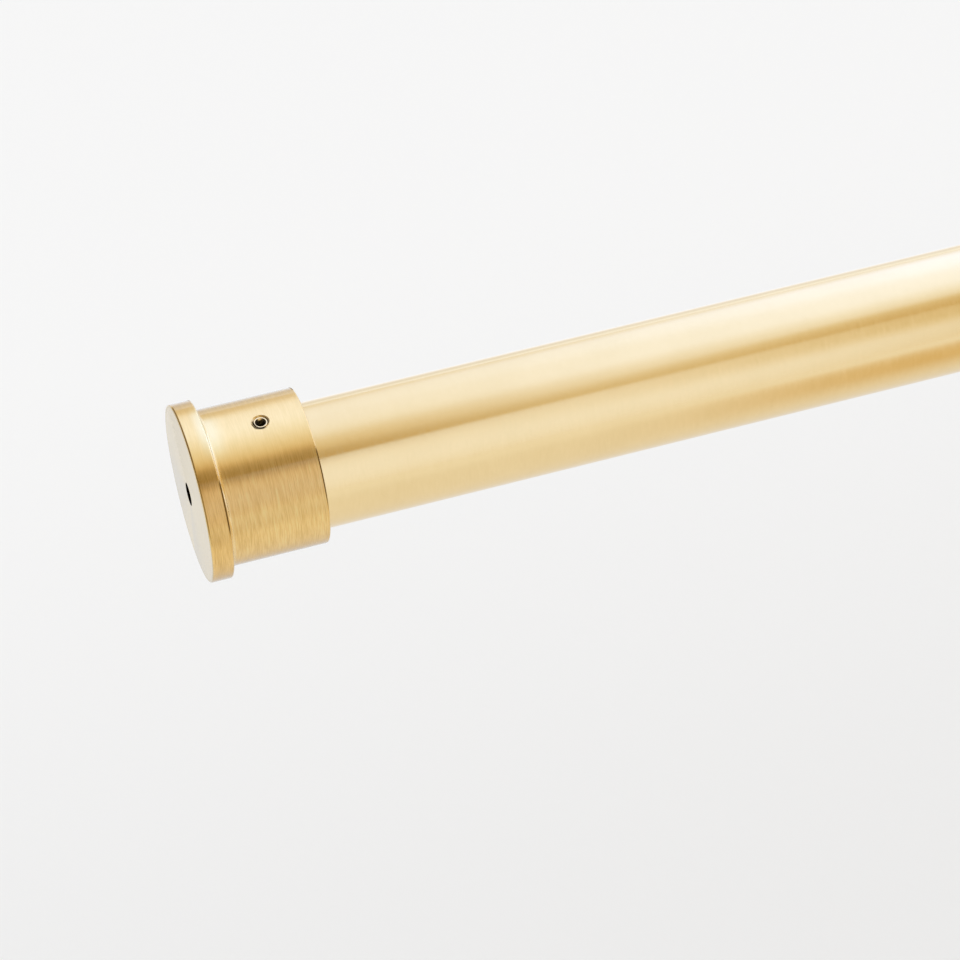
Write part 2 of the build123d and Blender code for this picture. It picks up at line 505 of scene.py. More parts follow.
def turned_places():
    """Places on a bracket, as masks. All its lengths are in millimetres.

    Height and depth are a point's Z and Y over its distance from the axis, so they follow the
    turn round the piece. Top and Low follow the height, Rim the distance from the axis, and Face
    the distance along X to the nearer wall. Line is where shade is painted along the flange's back
    and front edges and round the cup's mouth, Root the corner where the cup meets the flange below
    its top, where a highlight is painted, and the seventh output a painted highlight on that corner
    at the top: a wide band with a narrow one in its middle.
    """
    tree, given = new_group("turned_places", {
        "Rim radius": 21.2, "Thickness": 5.4, "Length": 30.2, "Cup radius": 19.6, "Span": 762})
    x, y, z = (side / MM for side in split(place_on_piece(tree)))
    radius = maths("SQRT", y * y + z * z)
    height, depth = z / radius, y / radius
    middle = given["Span"] * 0.5
    to_wall = middle - maths("ABSOLUTE", x - middle)
    from_front = to_wall - given["Thickness"]
    from_mouth = to_wall - given["Length"]
    from_cup = radius - given["Cup radius"]
    rim = fade(radius - given["Rim radius"], -0.5, 0.5)
    # Painted shade lines along the flange's back and front edges and round the cup's mouth
    back_line = (fade(to_wall, 0.08, 0.16) * fade(to_wall, 0.6, 0.35)
                 * fade(depth, -0.55, -0.25, 0.50, 0.68) * fade(depth, 0.62, 0.46)
                 * fade(height, 0.2, 0.4))
    front_line = (fade(from_front, -0.6, -0.25)
                  * fade(height, 0.84, 0.74) * fade(height, 0.15, 0.46))
    mouth_line = (fade(from_mouth, -0.50, -0.25) * fade(from_cup, -0.45, -0.30)
                  * fade(height, -0.05, 0.62, 0.0, 0.85) * fade(height, 0.90, 0.82))
    # Painted highlight on the corner between cup and flange, below its top
    root = fade(from_front, 1.3, 0.9) * fade(height, 0.78, 0.62)
    # Painted highlight on the corner at the top: a wide band and a narrow one in its middle
    wide = fade(from_front, -3.0, -0.6, 0.0, 0.42) * fade(from_front, 5.6, 0.6)
    narrow = fade(from_front, -0.6, -0.25, 0.0, 0.58) * fade(from_front, 0.6, 0.3)
    return put_out(tree, {
        "Top": fade(height, 0.78, 0.93),
        "Low": fade(height, 0.0, -0.5),
        "Rim": rim,
        "Face": fade(to_wall, 0.25, 0.05),
        "Line": mouth_line + rim * (back_line + front_line),
        "Root": root * (1.0 - rim),
        "Painted highlight": fade(height, 0.89, 0.995) * (wide + narrow)})


def made_once(store, maker, *settings):
    """What a maker makes under its own name, made the first time it is asked for."""
    return store.get(maker.__name__) or maker(*settings)


def placed(tree, group_maker, inputs):
    """Places a shared effect's node group and gives its outputs by name."""
    group = made_once(bpy.data.node_groups, group_maker)
    outputs = node(tree, "ShaderNodeGroup", inputs, node_tree=group).outputs
    return {socket.name: Value(socket) for socket in outputs}


# ---- materials

# Colours that don't change with the settings
WHITE = (1.0, 1.0, 1.0, 1.0)
BLACK = (0.0, 0.0, 0.0, 1.0)
HANDLED_TINT = (0.98, 0.975, 0.96, 1.0)
# Painted shade: the flange's rim browner below its top
LOW_RIM_PAINTED_SHADE = (0.96, 0.92, 0.82, 1.0)
# Painted reflection: the wall face paler and cooler, as brass seen at a grazing angle
WALL_FACE_PAINTED_REFLECTION = (0.86, 1.04, 1.5, 1.0)
# Painted highlight on the corner between cup and flange, below its top
ROOT_PAINTED_HIGHLIGHT = (1.0, 0.82, 0.47, 1.0)
# Painted highlight on the corner between cup and flange at the top
CORNER_PAINTED_HIGHLIGHT = (1.0, 0.86, 0.45, 1.0)
OIL_BLOTCH = (0.10, 0.06, 0.03, 1.0)
# Painted shade, near black, deep in the wall-screw hole
HOLE_PAINTED_SHADE = (0.005, 0.003, 0.0015, 1.0)
# Painted shade, near black, in the set screw's socket and on the shaded side of its thread
SOCKET_PAINTED_SHADE = (0.004, 0.0015, 0.001, 1.0)
# Painted shade along the sharp edges
EDGE_PAINTED_SHADE = (0.17, 0.075, 0.008, 1.0)
# Millimetres from the axis to where the flange's rim begins, outside the cup
RIM_RADIUS = 21.2


def emptied(owner):
    """The node tree of a material or world, without nodes."""
    owner.use_nodes = True
    owner.node_tree.nodes.clear()
    return owner.node_tree


def new_material(name):
    """A material and its empty node tree."""
    material = bpy.data.materials.new(name)
    return material, emptied(material)


def principled(tree, inputs):
    """Ends a material in a Principled shader with these inputs."""
    shader = output(tree, "ShaderNodeBsdfPrincipled", inputs)
    node(tree, "ShaderNodeOutputMaterial", {"Surface": shader})


def brass_material(name, colour, roughness, stretch, grooves, streak, groove_depth, contrast,
                   lacquer, edge_tint):
    """Lacquered brass, brushed round the piece.

    Streaks shift the colour and the gloss a little. Painted shade makes the rim browner below its
    top, a painted reflection makes the wall face paler, and painted highlights brighten the corner
    between flange and cup. Over that come scratches, worn edges that are brighter and smoother,
    painted shade that makes bores duller and darker and holes near black, blotches of oil and
    tarnish in them, and brown painted shade along the sharp edges. The gloss is stretched across
    the grooves, and the lacquer's shine is taken off where shade is painted.
    """
    material, tree = new_material(name)
    size = bracket_sizes()
    lie = placed(tree, turned_places, {
        "Rim radius": RIM_RADIUS, "Thickness": size["flange_end"] / MM,
        "Length": size["length"] / MM, "Cup radius": size["cup_radius"] / MM, "Span": SPAN / MM})
    brushed = placed(tree, brushing, {
        "Grooves per mm": grooves, "Streak length": streak, "Wiped": lie["Low"] * 0.7 + lie["Top"]})
    worn = placed(tree, edge_wear, {"Patch size": 1.5})["Worn"]
    recess = placed(tree, recess_shade_and_tarnish, {"Patch size": 2.0})
    cloud = placed(tree, handling, {"Patch size": 14.0})["Cloud"]
    # Painted shade: near black where the recess mask is full, in the wall-screw hole
    deep = fade(recess["Recess"], 0.6, 1.0)
    # Painted shade along the flange's edges and round the cup's mouth
    edge_shade = fade(lie["Line"], 0.1, 0.9, 0.0, 0.95)
    # Where shade is painted, the lacquer's shine is taken off so that it stays dark
    shade_mask = fade(maths("MAXIMUM", recess["Recess"], lie["Line"]), 0.0, 0.5)
    streaked = blended(brushed["Tone"], toned(colour, -contrast), toned(colour, contrast))
    final = layered(
        streaked,
        (1.0, blended(cloud, HANDLED_TINT, WHITE), "MULTIPLY"),
        # Painted shade: the rim browner below its top
        (lie["Rim"] * (1.0 - lie["Top"] * 0.6), LOW_RIM_PAINTED_SHADE, "MULTIPLY"),
        # Painted reflection: the wall face paler and cooler
        (lie["Face"], WALL_FACE_PAINTED_REFLECTION, "MULTIPLY"),
        # Painted highlight on the corner between cup and flange, below its top
        (lie["Root"] * 0.5, ROOT_PAINTED_HIGHLIGHT),
        # Painted highlight on the corner between cup and flange at the top
        (lie["Painted highlight"], CORNER_PAINTED_HIGHLIGHT),
        (brushed["Scratch"] * 0.5, toned(colour, -2 * contrast)),
        (worn * 0.3, shaded(colour, 1.06)),
        # Painted shade down in bores and holes
        (recess["Recess"] * 0.85, shaded(colour, 0.12)),
        (recess["Blotch"] * 0.5, OIL_BLOTCH),
        (deep, HOLE_PAINTED_SHADE),
        # Painted shade along the sharp edges
        (edge_shade, EDGE_PAINTED_SHADE))
    rough = (roughness - 0.03 + brushed["Tone"] * 0.05 - worn * 0.10 + recess["Recess"] * 0.15
             + maths("MAXIMUM", deep, edge_shade) * 0.5)
    principled(tree, {
        "Base Color": final,
        "Metallic": 1.0 - (edge_shade * 0.35 + deep),
        "Specular IOR Level": 0.1,
        "Roughness": rough,
        "Normal": bumped(brushed["Height"], groove_depth),
        "Anisotropic": stretch,
        "Tangent": output(tree, "ShaderNodeTangent", direction_type="UV_MAP", uv_map="grain"),
        "Specular Tint": shaded(WHITE, edge_tint),
        "Coat Weight": lacquer - shade_mask * lacquer,
        "Coat Roughness": 0.10,
        "Coat IOR": 1.5,
    })
    return material


def bracket_brass(finishes):
    """Brushed, lacquered brass of the brackets."""
    return brass_material(
        "bracket_brass", finishes.bracket_colour, finishes.bracket_roughness, stretch=0.93,
        grooves=5.0, streak=3.6, groove_depth=0.002 * MM, contrast=0.19,
        lacquer=1.0, edge_tint=0.59)


def tube_brass(finishes):
    """Paler satin brass of the tubes, with a finer grain."""
    return brass_material(
        "tube_brass", finishes.tube_colour, finishes.tube_roughness, stretch=0.05,
        grooves=3.5, streak=2.5, groove_depth=0.0004 * MM, contrast=0.022,
        lacquer=0.63, edge_tint=0.93)


def screw_steel(finishes):
    """Nickel-plated steel with fine die marks, worn edges, and painted shade in its socket and on
    one side of its thread.
    """
    material, tree = new_material("screw_steel")
    colour = finishes.steel_colour
    brushed = placed(tree, brushing, {"Grooves per mm": 9.0, "Streak length": 3.0})
    worn = placed(tree, edge_wear, {"Patch size": 0.6})["Worn"]
    recess = placed(tree, recess_shade_and_tarnish, {"Patch size": 0.8})["Recess"]
    streaked = blended(brushed["Tone"], shaded(colour, 0.88), shaded(colour, 1.06))
    principled(tree, {
        "Base Color": layered(
            # The recess mask paints shade in the socket and on one side of the thread
            streaked, (worn, shaded(colour, 1.2)), (recess * 0.97, SOCKET_PAINTED_SHADE)),
        "Metallic": fade(recess, 0.6, 1.0, 1.0, 0.0),
        "Specular IOR Level": 0.1,
        "Roughness": finishes.steel_roughness + brushed["Tone"] * 0.08 + recess * 0.6,
        "Normal": bumped(brushed["Height"], 0.002 * MM),
    })
    return material


def moulded_nylon(finishes):
    """Natural moulded nylon: milky, slightly translucent, with a fine moulded grain."""
    material, tree = new_material("moulded_nylon")
    colour = finishes.nylon_colour
    cloud = placed(tree, handling, {"Patch size": 5.0})["Cloud"]
    worn = placed(tree, edge_wear, {"Patch size": 1.0})["Worn"]
    grain = noise(place_on_piece(tree), 6 / MM, detail=3.0)
    clouded = blended(cloud, shaded(colour, 0.93), shaded(colour, 1.02))
    principled(tree, {
        "Base Color": layered(clouded, (worn * 0.4, shaded(colour, 1.08))),
        "Roughness": grain * 0.12 + (finishes.nylon_roughness - 0.06),
        "Normal": bumped(grain, 0.006 * MM),
        "Subsurface Weight": 0.15,
        "Subsurface Radius": (1.0, 0.9, 0.7),
        "Subsurface Scale": 0.8 * MM,
    })
    return material


# ---- settings


def length(name, description, default, low=0.0):
    """A size, given in millimetres and held in metres."""
    return bpy.props.FloatProperty(
        name=name, description=description, default=default * MM, min=low * MM, unit="LENGTH",
        precision=5)


def angle(name, description, default):
    """An angle, given in degrees."""
    return bpy.props.FloatProperty(
        name=name, description=description, default=math.radians(default), subtype="ANGLE")


def gloss(name, description, default):
    """A roughness from 0 to 1."""
    return bpy.props.FloatProperty(
        name=name, description=description, default=default, min=0, max=1, subtype="FACTOR")


def tint(name, description, default):
    """A colour."""
    return bpy.props.FloatVectorProperty(
        name=name, description=description, default=default, min=0, max=1, size=3,
        subtype="COLOR")


class BracketDetails(bpy.types.PropertyGroup):
    """Rounded edges of the turned brackets."""

    flange_edge: length("Flange Edge", "Radius of the flange's two outer edges", 0.45, 0.05)
    root_fillet: length("Root Fillet", "Radius where the cup meets the flange", 0.9, 0.05)
    mouth_edge: length("Mouth Edge", "Radius of the cup mouth's two edges", 0.35, 0.05)
    hole_edge: length("Hole Edge", "Radius of the wall-screw hole's edges", 0.15, 0.02)
    tapped_hole_sink: length(
        "Tapped Hole Sink", "Depth of the bevel round the tapped hole", 0.2, 0.05)


class TubeDetails(bpy.types.PropertyGroup):
    """Ends of the two tubes."""

    outer_edge: length("Outer Edge", "Radius that deburrs a tube's end outside", 0.2, 0.02)
    inner_edge: length("Inner Edge", "Radius that deburrs a tube's end inside", 0.1, 0.02)


class SetScrewDetails(bpy.types.PropertyGroup):
    """Thread, socket and point of the set screws."""

    pitch: length("Pitch", "Height of one turn of the thread", 0.7, 0.2)
    thread_depth: length("Thread Depth", "Height of the thread's ridge", 0.36, 0.05)
    thread_clearance: length(
        "Thread Clearance", "Gap between the screw and its hole, all round", 0.05)
    socket_flats: length(
        "Socket Flats", "Width of the hex socket across its flats", 2.0, 0.5)
    socket_depth: length("Socket Depth", "Depth of the hex socket", 2.0, 0.5)
    socket_sink: length("Socket Sink", "How far the socket's bevel passes its corners", 0.2)
    top_bevel: length("Top Bevel", "Bevel round the top of the screw", 0.3)
    point_bevel: length("Point Bevel", "Bevel round the screw's hollow point", 0.7)
    point_hollow: length("Point Hollow", "Depth of the hollow in the screw's point", 0.5)


class NylonDetails(bpy.types.PropertyGroup):
    """Edges of the moulded nylon pieces."""

    edge: length("Edge", "Radius of the moulded edges", 0.25, 0.02)


class Finishes(bpy.types.PropertyGroup):
    """Colours and gloss of the four materials."""

    bracket_colour: tint(
        "Bracket Brass", "Colour of the brushed brackets", (0.951, 0.642, 0.227))
    bracket_roughness: gloss("Bracket Roughness", "Roughness of the brushed brackets", 0.34)
    tube_colour: tint("Tube Brass", "Colour of the satin tubes", (0.953, 0.728, 0.371))
    tube_roughness: gloss("Tube Roughness", "Roughness of the satin tubes", 0.18)
    steel_colour: tint("Plated Steel", "Colour of the set screws", (0.84, 0.62, 0.29))
    steel_roughness: gloss("Steel Roughness", "Roughness of the set screws", 0.25)
    nylon_colour: tint("Nylon", "Colour of the bush, glide and sleeve", (0.80, 0.77, 0.68))
    nylon_roughness: gloss("Nylon Roughness", "Roughness of the nylon pieces", 0.42)


class StageSettings(bpy.types.PropertyGroup):
    """Camera, floor and studio light."""

    azimuth: angle("Azimuth", "Turn of the view round the rod, 0 from the front", -17.66)
    elevation: angle("Elevation", "Height of the view above the horizon", 48.53)
    roll: angle("Roll", "Turn of the picture about the line of sight", -0.46)
    distance: length("Distance", "From the camera to the point it aims at", 815.3, 100)
    aim: bpy.props.FloatVectorProperty(
        name="Aim", description="The point aimed at, from the middle of the left wall face",
        subtype="TRANSLATION", size=3, default=(0.07107, -0.01011, -0.00915))
    lens: bpy.props.FloatProperty(
        name="Lens", description="Focal length on a 36 mm sensor",
        default=123.59, min=10, unit="CAMERA")
    floor_drop: length("Floor Drop", "From the rod's lowest point down to the floor", 300)
    floor_size: length("Floor Size", "Length of the floor's side", 24000, 1000)
    floor_colour: tint("Floor Colour", "Colour of the floor", (0.93, 0.93, 0.93))
    patch_colour: tint(
        "Patch Colour", "Floor in front on the right, as gloss shows it", (0.73, 0.58, 0.34))
    patch_reach: bpy.props.FloatVectorProperty(
        name="Patch Reach", description="Where along the rod that patch starts and is full",
        subtype="TRANSLATION", size=2, default=(0.11, 0.27))
    light_level: bpy.props.FloatProperty(
        name="Light Level", description="Even light on matt surfaces", default=1.0, min=0.0)
    gloss_level: bpy.props.FloatProperty(
        name="Gloss Level", description="Plain light that gloss shows", default=0.88, min=0.0)


# ---- pieces

# The window that the bracket's wall leaves for the tapped hole: its cells each way, and how far
# it reaches along X from the hole's middle
WINDOW_CELLS = 18
WINDOW_REACH = 3.3 * MM
# Shares of the way from the window's border to the hole, one for each ring of points
WINDOW_RINGS = np.array([0, 0.3, 0.55, 0.75, 0.9, 0.97, 1.0])[:, None, None]
# Bevel of the tapped hole on the bore's side, and the rows of points down its wall
INNER_SINK = 0.1 * MM
TAPPED_ROWS = 75
# Rows of points on one turn of a set screw's thread
ROWS_PER_PITCH = 14
# Depth of the band at the top of the socket's wall where its painted shade is partly left off, and
# of the cone that a drill left in its floor
SOCKET_LIP = 0.25 * MM
SOCKET_CONE = 0.3 * MM
# Rings on the screw's top: how far inside its outer edge, and how far outside the socket's bevel
TOP_RINGS = (0.06 * MM, 0.05 * MM)


def bracket_skin(details, screws):
    """The bracket: its outline turned round X, with a window left open for the tapped hole."""
    size = bracket_sizes()
    flange, cup, bore = size["flange_radius"], size["cup_radius"], size["cup_bore"]
    # A corner's last number is how much shade is painted on its part of the outline: full in the
    # wall-screw hole, half on the cup's floor, a tenth in the bore
    corners = [
        (0, size["hole_radius"], details.hole_edge, 1),
        (0, flange, details.flange_edge, 0),
        (size["flange_end"], flange, details.flange_edge, 0),
        (size["flange_end"], cup, details.root_fillet, 0),
        (size["length"], cup, details.mouth_edge, 0),
        (size["length"], bore, details.mouth_edge, 0.1),
        (size["floor"], bore, 0, 0.5),
        (size["floor"], size["sink_radius"], details.hole_edge, 0.5),
        (size["hole_length"], size["hole_radius"], details.hole_edge, 1),
    ]
    stops = size["screw_x"] + np.linspace(-WINDOW_REACH, WINDOW_REACH, WINDOW_CELLS + 1)
    outline, edge, recess = rounded_outline(corners, stops)
    in_window = np.abs(outline[:, 0] - size["screw_x"]) < WINDOW_REACH + SAME
    first = (BRACKET_SEGMENTS - WINDOW_CELLS) // 2
    last = first + WINDOW_CELLS
    keep = np.ones((len(outline) - 1, BRACKET_SEGMENTS), bool)
    for radius in (cup, bore):
        rows = in_window & (np.abs(outline[:, 1] - radius) < SAME)
        keep[rows[:-1] & rows[1:], first:last] = False
    skin = Skin()
    turn = all_round(BRACKET_SEGMENTS)
    turned_sheet(skin, outline, edge, recess, (0, 0), turn, keep)
    pierce(skin, size, stops, outline, turn[first:last + 1], details, screws)
    return skin


def soiled_side(turn):
    """How much painted shade a set screw's bevel and thread and the tapped hole's wall get, by the
    turn in plan from X towards Y.

    A tenth all round, full at 222 degrees and three quarters at 12.
    """
    most = np.maximum(near_turn(turn, 222, 0.2, 0.3), 0.72 * near_turn(turn, 12, 0.68, 0.2))
    return 0.1 + 0.9 * most


def window_border(stops, radius, turns):
    """The window's border as (x, y) points, once round from its first corner."""
    grid = np.stack(np.meshgrid(stops, -radius * np.cos(turns), indexing="ij"), -1)
    sides = [grid[:-1, 0], grid[-1, :-1], grid[:0:-1, -1], grid[0, :0:-1]]
    return np.concatenate(sides + [grid[:1, 0]])


def pierce(skin, size, stops, outline, turns, details, screws):
    """Fills both windows with a sheet that ends in a round hole, and threads the hole's wall.

    Each sheet goes straight from the window's border to the circle in plan, and its height is
    that of the cylinder, the root of radius squared less y squared. The wall goes straight down
    from the outer rim to the inner one, its radius the thread's, opened by a bevel at each end.
    """
    cup, bore = size["cup_radius"], size["cup_bore"]
    hole_radius = size["screw_radius"] + screws.thread_clearance
    centre = np.array([size["screw_x"], 0.0])
    border = window_border(stops, cup, turns) - centre
    angle = np.unwrap(np.arctan2(border[:, 1], border[:, 0]))
    ring = np.stack([np.cos(angle), np.sin(angle)], -1)
    across = run_lengths(outline)[:, 0]
    # Painted shade on one side of the tapped hole's outer bevel
    bevel_shade = np.clip((WINDOW_RINGS[..., 0] - 0.75) / 0.2, 0, 1) * near_turn(angle, 232, 0.35, 0.4)
    outer_sink = details.tapped_hole_sink
    rims = []
    for radius, sink, recess in ((cup, outer_sink, bevel_shade), (bore, INNER_SINK, 0.5)):
        border = window_border(stops, radius, turns)
        circle = centre + ring * (hole_radius + sink)
        plan = (1 - WINDOW_RINGS) * border + WINDOW_RINGS * circle
        height = np.sqrt(radius**2 - plan[..., 1] ** 2)
        on_wall = np.abs(outline[:, 1] - radius) < SAME
        order = np.argsort(outline[on_wall, 0])
        from_start = np.interp(plan[..., 0], outline[on_wall, 0][order], across[on_wall][order])
        along = np.arccos(-plan[..., 1] / radius) * radius
        skin.sheet(np.dstack([plan, height]), from_start, along, 0.0, recess)
        rims.append(height[-1])
    height = rims[0] + (rims[1] - rims[0]) * np.linspace(0, 1, TAPPED_ROWS)[:, None]
    from_top, from_bottom = rims[0] - height, height - rims[1]
    wall = np.maximum.reduce([
        threaded(hole_radius, angle, height, screws),
        hole_radius + outer_sink - from_top,
        hole_radius + INNER_SINK - from_bottom])
    bevelled = np.clip(1.5 - from_top / outer_sink, 0, 1)
    # Painted shade on one side of the tapped hole's wall, lighter on its bevel
    recess = (1 - 0.7 * bevelled) * soiled_side(angle)
    plan = centre + ring * wall[..., None]
    skin.sheet(np.dstack([plan, height]), from_top, angle * hole_radius, 0.0, recess)


def turned_skin(form, corners):
    """A skin of one outline turned right round its form's axis."""
    skin = Skin()
    turned_sheet(skin, *rounded_outline(corners), form.axis, all_round(TUBE_SEGMENTS))
    return skin


def tube_skin(node_name, details):
    """A plain tube with deburred ends."""
    form = TurnedForm(node_name)
    bore, radius = form.radii(form.start, form.end)
    return turned_skin(form, [
        (form.start, bore, details.inner_edge, 1),
        (form.start, radius, details.outer_edge, 0),
        (form.end, radius, details.outer_edge, 0),
        (form.end, bore, details.inner_edge, 1),
    ])


def bush_skin(details):
    """The mouth bush: a sleeve inside the outer tube and a lip against the tube's end."""
    form = TurnedForm("mouth_bush")
    tube_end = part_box("outer_tube")[1].x
    bore, sleeve = form.radii(form.start, form.start + SLICE)
    lip = form.radii(form.end - SLICE, form.end)[1]
    return turned_skin(form, [
        (form.start, bore, details.edge, 1),
        (form.start, sleeve, details.edge, 0),
        (tube_end, sleeve, 0, 0),
        (tube_end, lip, details.edge, 0),
        (form.end, lip, details.edge, 0),
        (form.end, bore, details.edge, 0),
    ])


def glide_skin(details):
    """The tail glide: a collar with a lead-in bevel and a spigot inside the inner tube."""
    form = TurnedForm("tail_glide")
    collar_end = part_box("inner_tube")[0].x
    bore, front = form.radii(form.start, form.start + SLICE)
    collar = form.radii(form.start, form.end)[1]
    spigot = form.radii(form.end - SLICE, form.end)[1]
    return turned_skin(form, [
        (form.start, bore, details.edge, 1),
        (form.start, front, 0.5 * details.edge, 0),
        (form.start + collar - front, collar, 0.5 * details.edge, 0),
        (collar_end, collar, details.edge, 0),
        (collar_end, spigot, 0, 0),
        (form.end, spigot, details.edge, 0),
        (form.end, bore, details.edge, 1),
    ])


def sleeve_skin(details):
    """The adapter sleeve: a ring's section carried round X from one side of the slot to the other.

    A point of the section at radius r starts where r sin(a) is half the slot's width, with a the
    turn from straight up, and ends at the same place on the slot's other side.
    """
    form = TurnedForm("adapter_sleeve", axis=(0, 0))
    bore, outside = form.radii(form.start, form.end)
    half_slot = np.abs(form.points[form.points[:, 2] > 0.8 * bore, 1]).min()
    middle = (bore + outside) / 2
    outline, edge, recess = rounded_outline([
        (form.start, middle, 0, 0),
        (form.start, outside, details.edge, 0),
        (form.end, outside, details.edge, 0),
        (form.end, middle, 0, 0),
        (form.end, bore, details.edge, 0),
        (form.start, bore, details.edge, 0),
    ])
    first = np.arcsin(half_slot / outline[:, 1:])
    from_up = first + np.linspace(0, 1, TUBE_SEGMENTS + 1) * (2 * math.pi - 2 * first)
    skin = Skin()
    points = turned_sheet(skin, outline, edge, recess, form.axis, from_up + math.pi / 2)
    half = len(outline) // 2
    for section in (points[:, 0], points[:, -1]):
        cap = np.stack([section[:half + 1], section[::-1][:half + 1]])
        skin.sheet(cap, cap[..., 0], cap[..., 2])
    return skin


def set_screw_skin(node_name, place, details):
    """A set screw, as rings stacked from its hollow point to the floor of its hex socket.

    The side's radius is the thread's, held within the bevels of point and top, and its thread
    carries painted shade on one side. The socket's radius is half the flats divided by the cosine
    of the turn from the middle of a flat. Its bevel and wall carry painted shade, left off round
    84 degrees: exp(-(degrees from there / 27) ** 4).
    """
    low, high = corners_of(node_name)
    middle = place(np.array([(low + high) / 2]))[0]
    radius = (high[0] - low[0]) / 2
    bottom, top = low[2], high[2]
    turn = np.linspace(0, 2 * math.pi, SCREW_SEGMENTS + 1)
    hexagon = details.socket_flats / 2 / np.cos((turn % (math.pi / 3)) - math.pi / 6)
    sink = details.socket_flats / math.sqrt(3) + details.socket_sink
    socket_rim = top - (sink - hexagon)
    floor = top - details.socket_depth
    point = radius - details.point_bevel
    top_edge = radius - details.top_bevel
    # Where the socket's painted shade is left off, round 84 degrees
    unshaded_notch = np.exp(-((np.degrees(turn) - 84) / 27) ** 4)
    # A level is (radius, height, edge, recess)
    levels = [
        (0, bottom + details.point_hollow, 0, 0),
        (point - details.top_bevel, bottom, 0, 0),
        (point, bottom, 1, 0),
    ]
    side = np.linspace(bottom, top, int((top - bottom) / (details.pitch / ROWS_PER_PITCH)))
    for z in side[1:]:
        bevels = min(point + z - bottom, top_edge + top - z)
        held = np.minimum(threaded(radius, turn, z, details), bevels)
        # Painted shade on one side of the thread
        levels.append((held, z, 0, soiled_side(turn)))
    levels += [
        (top_edge - TOP_RINGS[0], top, 1, 0),
        (sink + TOP_RINGS[1], top, 1, 0),
        (sink, top, 1, 1 - unshaded_notch),
        (hexagon, socket_rim, 0, 1 - unshaded_notch),
        (hexagon, socket_rim - SOCKET_LIP, 0, 1 - 0.7 * unshaded_notch),
        (hexagon, floor, 0, 1),
        (0, floor - SOCKET_CONE, 0, 1),
    ]
    radii, heights, edge, recess = (
        np.stack([np.broadcast_to(part, turn.shape) for part in parts]).astype(float)
        for parts in zip(*levels))
    plan = (middle[0] + radii * np.cos(turn), middle[1] + radii * np.sin(turn))
    across = run_lengths(np.stack([radii.mean(1), heights.mean(1)], -1))
    skin = Skin()
    skin.sheet(np.dstack([*plan, heights]), across, turn * radius, edge, recess)
    return skin


def add_piece(skin, node_name, stuff, material, place=left_end, body=None):
    """Makes the piece that stands for a node, named for its stuff and riding on its body."""
    piece = skin.make(f"{node_name}_{stuff}", place, material)
    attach(piece, body or node_name)
    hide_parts(node_name)


# ---- operators


class CURTAINROD_OT_add_brackets(bpy.types.Operator):
    """Adds the two turned cup brackets with their tapped holes"""

    bl_idname = "curtain_rod.add_brackets"
    bl_label = "Add Brackets"

    def execute(self, context):
        settings = context.scene
        brass = made_once(bpy.data.materials, bracket_brass, settings.rod_finishes)
        for name, place in (("left_bracket", left_end), ("right_bracket", right_end)):
            skin = bracket_skin(settings.rod_bracket, settings.rod_set_screw)
            add_piece(skin, name, "brass", brass, place)
        return {"FINISHED"}


class CURTAINROD_OT_add_tubes(bpy.types.Operator):
    """Adds the outer tube and the inner tube that slides in it"""

    bl_idname = "curtain_rod.add_tubes"
    bl_label = "Add Tubes"

    def execute(self, context):
        settings = context.scene
        brass = made_once(bpy.data.materials, tube_brass, settings.rod_finishes)
        for name in ("outer_tube", "inner_tube"):
            skin = tube_skin(name, settings.rod_tube)
            add_piece(skin, name, "brass", brass)
        return {"FINISHED"}


class CURTAINROD_OT_add_nylon(bpy.types.Operator):
    """Adds the mouth bush, the tail glide and the split adapter sleeve"""

    bl_idname = "curtain_rod.add_nylon"
    bl_label = "Add Nylon Pieces"

    def execute(self, context):
        settings = context.scene
        nylon = made_once(bpy.data.materials, moulded_nylon, settings.rod_finishes)
        pieces = (
            ("mouth_bush", "outer_tube", bush_skin),
            ("tail_glide", "inner_tube", glide_skin),
            ("adapter_sleeve", "right_bracket", sleeve_skin),
        )
        for name, body, maker in pieces:
            skin = maker(settings.rod_nylon)
            add_piece(skin, name, "nylon", nylon, body=body)
        return {"FINISHED"}


class CURTAINROD_OT_add_set_screws(bpy.types.Operator):
    """Adds the two threaded set screws with hex sockets"""

    bl_idname = "curtain_rod.add_set_screws"
    bl_label = "Add Set Screws"

    def execute(self, context):
        settings = context.scene
        steel = made_once(bpy.data.materials, screw_steel, settings.rod_finishes)
        for name, place in (("left_set_screw", left_end), ("right_set_screw", right_end)):
            skin = set_screw_skin(name, place, settings.rod_set_screw)
            add_piece(skin, name, "steel", steel, place)
        return {"FINISHED"}


# ---- stage

# The studio as soft panels round the rod, each a level against plain light. Turn is the angle
# about X in degrees, 0 towards the front, 90 straight up and 180 to the back, and lean is the
# way's own X. A panel is (turn from, fade in, turn to, fade out, lean at none, lean at full,
# level).
STUDIO_PANELS = (
    (-25, 50, 32, 55, 0.66, 0.39, 1.18),
    (98, 42, 175, 26, -3.0, -2.0, 0.1),
    (53, 42, 150, 35, 0.13, 0.05, 1.95),
    (55, 91, 161, 60, -0.55, 0.73, 1.95),
    (-99, 10, 64, 28, 0.30, 0.56, 0.08),
    (-99, 10, 64, 28, 0.60, 0.80, 1.40),
    (-20, 18, 60, 20, 0.11, -0.05, 0.72),
    (22, 24, 70, 10, 0.22, 0.36, 0.70),
    (56.9, 0.6, 66, 68, 0.23, 0.17, 0.63),
    (56.9, 0.6, 29, 49, -3.0, -2.0, 0.21),
    (43, 12, 68, 12, 0.13, 0.098, 0.03),
    (158, 16, 190, 14, 0.16, 0.10, 0.84),
    (143, 10, 175, 25, -0.20, -0.42, 1.0),
    (143, 10, 175, 25, 0.42, 0.55, 1.0),
    (90, 10, 300, 10, -0.45, -0.65, 0.12),
    (-10, 15, 70, 20, -0.35, -0.60, 0.12),
)
